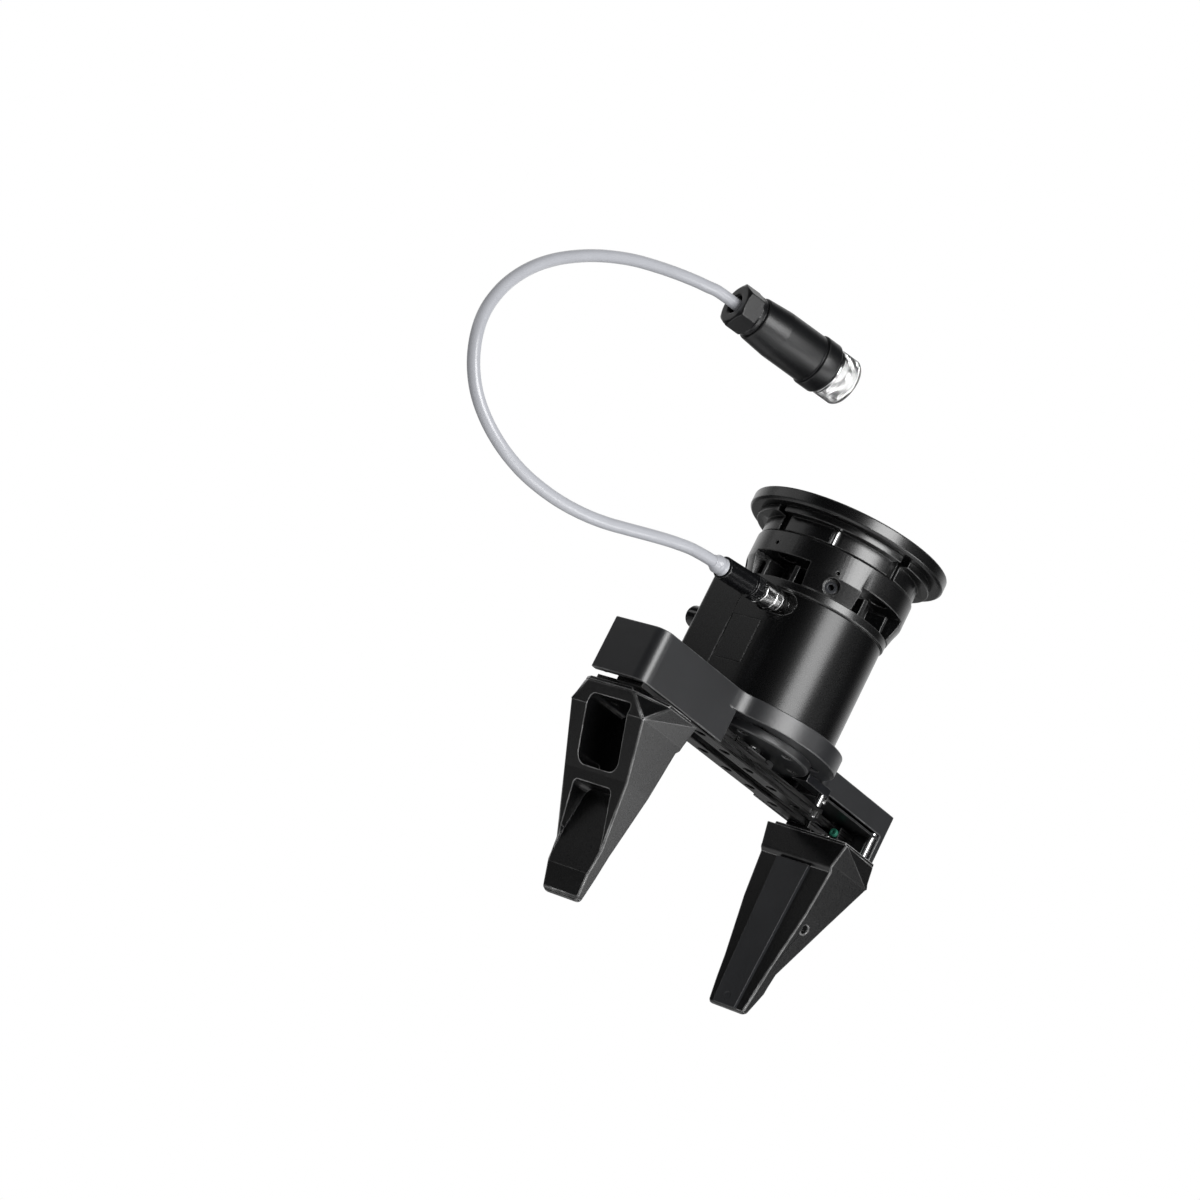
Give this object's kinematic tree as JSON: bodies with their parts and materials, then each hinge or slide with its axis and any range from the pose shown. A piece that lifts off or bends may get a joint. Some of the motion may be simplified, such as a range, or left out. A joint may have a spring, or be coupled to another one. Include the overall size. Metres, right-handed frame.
{
  "type": "electric two finger gripper",
  "caption": "Electric parallel gripper with a rack and pinion drive, open rails, tapered pocketed fingers with grip pads, a round robot flange and a cable with two round plugs.",
  "frame": {"origin": "centre of the adapter ring at its robot-side face", "axes": "+Z along the gripper axis towards the robot, +X along the fingers' travel from the left finger to the right finger"},
  "size_m": [0.2621, 0.075, 0.2208],
  "materials": {
    "ring_black": "black anodised, smooth",
    "collar_black": "black anodised, satin",
    "body_black": "black anodised, fine blasted",
    "base_black": "black anodised, satin",
    "dark_screws": "blackened",
    "bright_steel": "bright",
    "drive_steel": "ground",
    "socket_metal": "nickel plated",
    "black_plastic": "moulded",
    "board_green": "satin",
    "motor_case": "satin",
    "guard_grey": "satin",
    "cap_green": "moulded",
    "jaw_black": "black anodised, satin",
    "pad_rubber": "smooth",
    "cable_grey": "smooth",
    "plug_chrome": "polished, knurled",
    "plug_black": "moulded"
  },
  "bodies": {
    "frame": {"adapter_ring": "ring_black", "coupling_neck": "collar_black", "dowel_pin": "bright_steel", "mount_collar": "collar_black", "collar_screws": "dark_screws", "hub_core": "collar_black", "top_band": "collar_black", "body_shell": "body_black", "rear_cover": "body_black", "cover_screws": "dark_screws", "blank_label": "body_black", "data_socket": "socket_metal", "port_cap": "black_plastic", "encoder": "board_green", "motor": "motor_case", "gearbox": "motor_case", "control_board": "board_green", "base_plate": "base_black", "base_screws": "dark_screws", "gear_cover": "base_black", "gear_cover_screws": "bright_steel", "upper_bearing": "bright_steel", "lower_bearing": "bright_steel", "pinion_bridge": "base_black", "front_rail": "drive_steel", "back_rail": "drive_steel", "front_rail_hanger": "dark_screws", "back_rail_hanger": "dark_screws", "front_rail_nut": "bright_steel", "back_rail_nut": "bright_steel", "rail_posts": "bright_steel", "left_guard_plate": "guard_grey", "right_guard_plate": "guard_grey", "guard_screws": "bright_steel", "arm_standoffs": "bright_steel", "cable": "cable_grey", "m8_boot": "cable_grey", "m8_plug_body": "black_plastic", "m12_plug_body": "plug_black", "m12_cable_nut": "plug_black"},
    "left_jaw": {"left_carriage": "drive_steel", "left_end_cap": "cap_green", "left_rack": "drive_steel", "left_rack_screws": "bright_steel", "left_jaw_plate": "jaw_black", "left_finger_screws": "bright_steel", "left_finger": "jaw_black", "left_pad": "pad_rubber"},
    "right_jaw": {"right_carriage": "drive_steel", "right_end_cap": "cap_green", "right_rack": "drive_steel", "right_rack_screws": "bright_steel", "right_jaw_plate": "jaw_black", "right_finger_screws": "bright_steel", "right_finger": "jaw_black", "right_pad": "pad_rubber"},
    "pinion": {"pinion": "drive_steel"},
    "m8_nut": {"m8_plug_nut": "plug_chrome"},
    "m12_nut": {"m12_plug_nut": "plug_chrome"}
  },
  "joints": [
    {"name": "left_slide", "type": "slide", "parent": "frame", "child": "left_jaw", "axis": [1, 0, 0], "range_m": [0, 0.0474]},
    {"name": "right_slide", "type": "slide", "parent": "frame", "child": "right_jaw", "axis": [-1, 0, 0], "range_m": [0, 0.0474]},
    {"name": "pinion_spin", "type": "hinge", "parent": "frame", "child": "pinion", "pos_m": [0, 0, -0.087], "axis": [0, 0, 1], "range_deg": [0, 678.96]},
    {"name": "m8_nut_turn", "type": "hinge", "parent": "frame", "child": "m8_nut", "pos_m": [-0.032, -0.005, -0.0388], "axis": [0.9945, 0, 0.1045], "continuous": true},
    {"name": "m12_nut_turn", "type": "hinge", "parent": "frame", "child": "m12_nut", "pos_m": [-0.03372, 0.01057, 0.046], "axis": [0.9537, -0.3007, 0], "continuous": true}
  ],
  "couplings": [
    {"joint": "right_slide", "follows": "left_slide", "ratio": 1},
    {"joint": "pinion_spin", "follows": "left_slide", "rad_per_m": 250}
  ]
}
